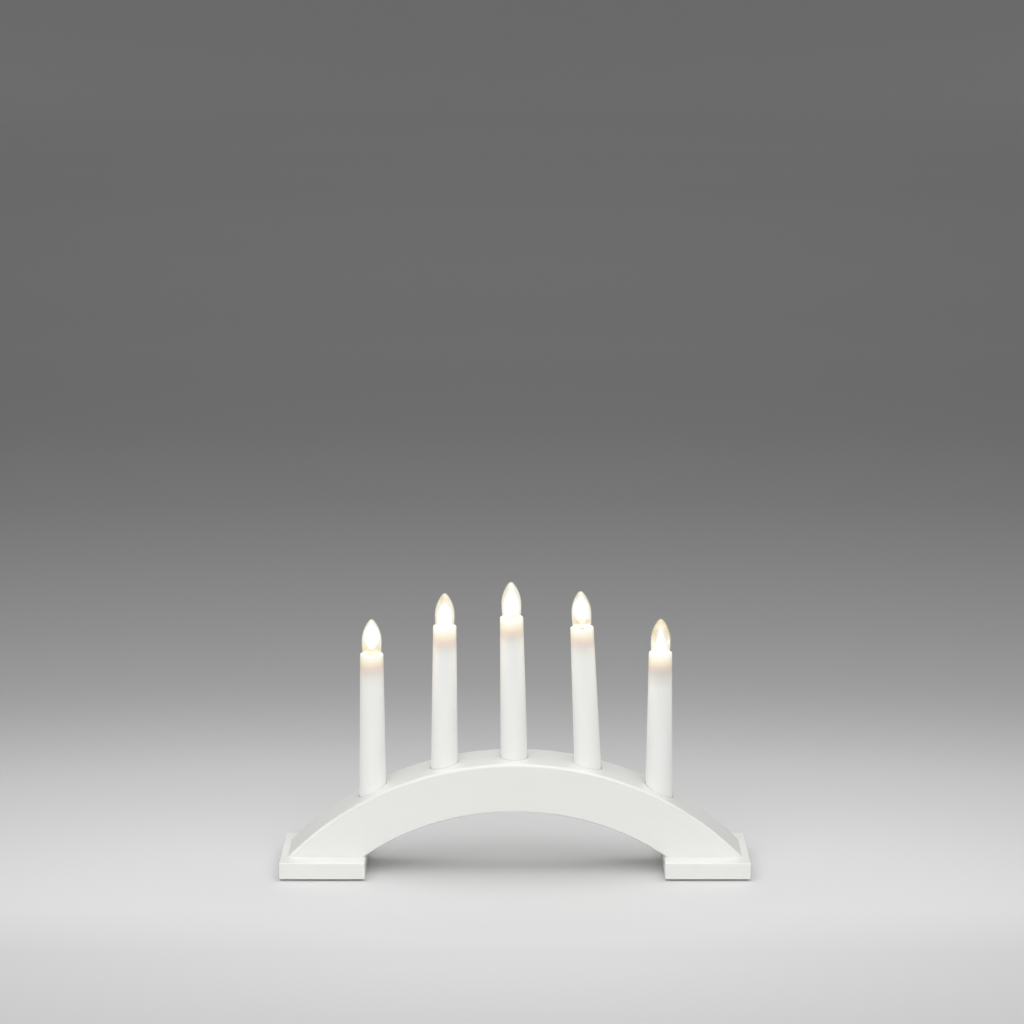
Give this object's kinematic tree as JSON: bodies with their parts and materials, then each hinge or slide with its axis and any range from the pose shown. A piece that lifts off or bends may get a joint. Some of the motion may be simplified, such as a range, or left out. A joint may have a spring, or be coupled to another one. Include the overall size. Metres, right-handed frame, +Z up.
{
  "type": "electric candle arch",
  "caption": "White wooden arch on two foot blocks that holds a row of tapered plastic candles with lit screw-in candle bulbs.",
  "frame": {"origin": "middle of the footprint, on the surface the part stands on", "axes": "+X along the arch to the viewer's right, +Y from the front to the back, +Z up"},
  "size_m": [0.4, 0.078, 0.2519],
  "materials": {
    "white_lacquered_wood": "satin white lacquer",
    "white_cover": "painted hardboard",
    "candle_plastic": "satin moulded plastic",
    "felt": "pressed felt",
    "zinc_steel": "zinc plated",
    "white_bush": "moulded plastic",
    "wire_insulation": "soft insulation",
    "holder_plastic": "moulded plastic",
    "brass": "pressed sheet",
    "bulb_cap_metal": "rolled thread",
    "black_insulator": "fused black glass",
    "solder": "solder",
    "filament_mount": "lead wires and filament",
    "bulb_glass": "clear glass, lit from inside"
  },
  "bodies": {
    "stand": {"arch": "white_lacquered_wood", "foot_block_left": "white_lacquered_wood", "foot_block_right": "white_lacquered_wood", "felt_pads": "felt", "foot_screws": "zinc_steel", "cover_strip": "white_cover", "cover_tacks": "zinc_steel", "cord_bush": "white_bush", "supply_wire_left": "wire_insulation", "supply_wire_right": "wire_insulation", "link_wire_1_2": "wire_insulation", "link_wire_2_3": "wire_insulation", "link_wire_3_4": "wire_insulation", "link_wire_4_5": "wire_insulation", "candle_tube_1": "candle_plastic", "candle_tube_2": "candle_plastic", "candle_tube_3": "candle_plastic", "candle_tube_4": "candle_plastic", "candle_tube_5": "candle_plastic", "lampholder_1": "holder_plastic", "lampholder_2": "holder_plastic", "lampholder_3": "holder_plastic", "lampholder_4": "holder_plastic", "lampholder_5": "holder_plastic", "screw_shell_1": "brass", "screw_shell_2": "brass", "screw_shell_3": "brass", "screw_shell_4": "brass", "screw_shell_5": "brass", "centre_contact_1": "brass", "centre_contact_2": "brass", "centre_contact_3": "brass", "centre_contact_4": "brass", "centre_contact_5": "brass"},
    "bulb_1_foot": {"bulb_insulator_1": "black_insulator", "bulb_contact_1": "solder"},
    "bulb_1": {"bulb_glass_1": "bulb_glass", "bulb_cap_1": "bulb_cap_metal", "bulb_mount_1": "filament_mount"},
    "bulb_2_foot": {"bulb_insulator_2": "black_insulator", "bulb_contact_2": "solder"},
    "bulb_2": {"bulb_glass_2": "bulb_glass", "bulb_cap_2": "bulb_cap_metal", "bulb_mount_2": "filament_mount"},
    "bulb_3_foot": {"bulb_insulator_3": "black_insulator", "bulb_contact_3": "solder"},
    "bulb_3": {"bulb_glass_3": "bulb_glass", "bulb_cap_3": "bulb_cap_metal", "bulb_mount_3": "filament_mount"},
    "bulb_4_foot": {"bulb_insulator_4": "black_insulator", "bulb_contact_4": "solder"},
    "bulb_4": {"bulb_glass_4": "bulb_glass", "bulb_cap_4": "bulb_cap_metal", "bulb_mount_4": "filament_mount"},
    "bulb_5_foot": {"bulb_insulator_5": "black_insulator", "bulb_contact_5": "solder"},
    "bulb_5": {"bulb_glass_5": "bulb_glass", "bulb_cap_5": "bulb_cap_metal", "bulb_mount_5": "filament_mount"}
  },
  "joints": [
    {"name": "bulb_1_rise", "type": "slide", "parent": "stand", "child": "bulb_1_foot", "axis": [0.0035, 0, 1], "range_m": [0, 0.00726]},
    {"name": "bulb_1_unscrew", "type": "hinge", "parent": "bulb_1_foot", "child": "bulb_1", "pos_m": [-0.12115, 0, 0.18911], "axis": [0.0035, 0, 1], "range_deg": [0, 1440]},
    {"name": "bulb_2_rise", "type": "slide", "parent": "stand", "child": "bulb_2_foot", "axis": [0.007, 0, 1], "range_m": [0, 0.00726]},
    {"name": "bulb_2_unscrew", "type": "hinge", "parent": "bulb_2_foot", "child": "bulb_2", "pos_m": [-0.05931, 0, 0.21174], "axis": [0.007, 0, 1], "range_deg": [0, 1440]},
    {"name": "bulb_3_rise", "type": "slide", "parent": "stand", "child": "bulb_3_foot", "axis": [-0.0175, 0, 0.9998], "range_m": [0, 0.00726]},
    {"name": "bulb_3_unscrew", "type": "hinge", "parent": "bulb_3_foot", "child": "bulb_3", "pos_m": [-0.00287, 0, 0.22158], "axis": [-0.0175, 0, 0.9998], "range_deg": [0, 1440]},
    {"name": "bulb_4_rise", "type": "slide", "parent": "stand", "child": "bulb_4_foot", "axis": [-0.0454, 0, 0.999], "range_m": [0, 0.00726]},
    {"name": "bulb_4_unscrew", "type": "hinge", "parent": "bulb_4_foot", "child": "bulb_4", "pos_m": [0.0565, 0, 0.21363], "axis": [-0.0454, 0, 0.999], "range_deg": [0, 1440]},
    {"name": "bulb_5_rise", "type": "slide", "parent": "stand", "child": "bulb_5_foot", "axis": [0, 0, 1], "range_m": [0, 0.00726]},
    {"name": "bulb_5_unscrew", "type": "hinge", "parent": "bulb_5_foot", "child": "bulb_5", "pos_m": [0.1231, 0, 0.18951], "axis": [0, 0, 1], "range_deg": [0, 1440]}
  ],
  "couplings": [
    {"joint": "bulb_1_rise", "follows": "bulb_1_unscrew", "m_per_rad": 0.00028871},
    {"joint": "bulb_2_rise", "follows": "bulb_2_unscrew", "m_per_rad": 0.00028871},
    {"joint": "bulb_3_rise", "follows": "bulb_3_unscrew", "m_per_rad": 0.00028871},
    {"joint": "bulb_4_rise", "follows": "bulb_4_unscrew", "m_per_rad": 0.00028871},
    {"joint": "bulb_5_rise", "follows": "bulb_5_unscrew", "m_per_rad": 0.00028871}
  ]
}
